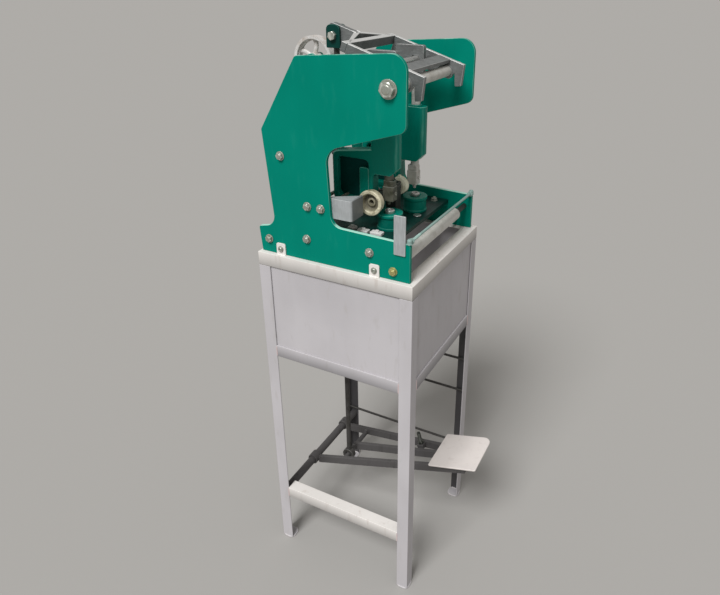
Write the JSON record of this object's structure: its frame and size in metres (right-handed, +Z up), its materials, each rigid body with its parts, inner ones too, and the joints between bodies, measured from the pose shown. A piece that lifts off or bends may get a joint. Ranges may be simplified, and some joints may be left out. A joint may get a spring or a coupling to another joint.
{
  "type": "eyelet punching machine",
  "caption": "Foot-pressed twin-head eyelet punching machine with green side plates on a grey angle-iron stand, worked by a pedal, a pull rod and a top lever.",
  "frame": {"origin": "centre of the bounding box on the floor, under the feet", "axes": "+Z up, front of the machine and its pedal towards -Y, +X to the right as the worker sees it"},
  "size_m": [0.354, 0.4862, 1.2673],
  "materials": {
    "green_paint": "semi-gloss enamel",
    "grey_paint": "satin",
    "pale_paint": "satin",
    "bare_steel": "brushed",
    "bright_steel": "ground",
    "dark_steel": "oiled",
    "cream_casting": "satin",
    "zinc": "zinc plated",
    "yellow_zinc": "yellow zinc plated"
  },
  "bodies": {
    "machine": {"leg_front_left": "grey_paint", "leg_front_right": "grey_paint", "leg_rear_left": "grey_paint", "leg_rear_right": "grey_paint", "top_rail_front": "grey_paint", "top_rail_rear": "grey_paint", "top_rail_left": "grey_paint", "top_rail_right": "grey_paint", "mid_rail_front": "grey_paint", "mid_rail_rear": "grey_paint", "mid_rail_left": "grey_paint", "mid_rail_right": "grey_paint", "panel_front": "grey_paint", "panel_left": "grey_paint", "panel_right": "grey_paint", "low_rung_left": "grey_paint", "low_bar_right": "grey_paint", "side_bar_lower": "grey_paint", "side_bar_upper": "grey_paint", "pedal_shaft": "grey_paint", "side_plate_left": "green_paint", "side_plate_right": "green_paint", "tie_rod_back": "zinc", "tie_rod_head_rear": "zinc", "tie_rod_head_front": "zinc", "tie_rod_bed_rear": "zinc", "tie_rod_bed_front": "zinc", "tie_rod_heel": "zinc", "tie_rod_toe": "yellow_zinc", "pivot_bolt": "zinc", "bed_plate": "dark_steel", "front_tie_bar": "bare_steel", "gauge_rod": "bare_steel", "stop_bracket": "bare_steel", "throat_bracket": "bare_steel", "eyelet_head_left": "green_paint", "eyelet_head_right": "green_paint", "die_cup_left": "green_paint", "die_cup_right": "green_paint", "die_left": "bright_steel", "die_right": "bright_steel", "feed_bearing": "dark_steel", "wheel_fork": "green_paint", "return_spring": "dark_steel"},
    "pedal": {"pedal_frame": "grey_paint", "pedal_plate": "pale_paint", "pedal_stop_bolt": "dark_steel"},
    "top_lever": {"lever_arm_left": "bare_steel", "lever_arm_right": "bare_steel", "lever_cross_bar": "bare_steel", "lever_yoke": "bare_steel", "pivot_sleeve": "bare_steel", "ram_pin": "bright_steel"},
    "pull_rod": {"pull_rod": "bare_steel", "tail_clevis": "green_paint"},
    "ram_left": {"ram_left": "bare_steel"},
    "ram_right": {"ram_right": "bare_steel"},
    "feed": {"feed_shaft": "bare_steel", "feed_drum": "cream_casting"},
    "rear_wheel": {"rear_wheel": "bare_steel"}
  },
  "joints": [
    {"name": "pedal_press", "type": "hinge", "parent": "machine", "child": "pedal", "pos_m": [0, 0.20454, 0.155], "axis": [1, 0, 0], "range_deg": [0, 22], "stiffness_Nm_per_rad": 14, "springref_deg": -51.57},
    {"name": "lever_swing", "type": "hinge", "parent": "machine", "child": "top_lever", "pos_m": [0, -0.08446, 1.176], "axis": [-1, 0, 0], "range_deg": [0, 9.3]},
    {"name": "rod_swing", "type": "hinge", "parent": "top_lever", "child": "pull_rod", "pos_m": [0, 0.11854, 1.241], "axis": [1, 0, 0], "range_deg": [0, 8.8], "deforming": ["return_spring"]},
    {"name": "ram_left_slide", "type": "slide", "parent": "machine", "child": "ram_left", "axis": [0, 0, -1], "range_m": [0, 0.009]},
    {"name": "ram_right_slide", "type": "slide", "parent": "machine", "child": "ram_right", "axis": [0, 0, -1], "range_m": [0, 0.009]},
    {"name": "feed_turn", "type": "hinge", "parent": "machine", "child": "feed", "pos_m": [0, -0.01046, 0.94], "axis": [1, 0, 0], "continuous": true},
    {"name": "wheel_turn", "type": "hinge", "parent": "machine", "child": "rear_wheel", "pos_m": [0.038, 0.19654, 1.188], "axis": [1, 0, 0], "continuous": true}
  ],
  "couplings": [
    {"joint": "lever_swing", "follows": "pedal_press", "ratio": 0.42087},
    {"joint": "rod_swing", "follows": "pedal_press", "ratio": 0.39743},
    {"joint": "ram_left_slide", "follows": "pedal_press", "m_per_rad": 0.022955},
    {"joint": "ram_right_slide", "follows": "pedal_press", "m_per_rad": 0.022955}
  ]
}
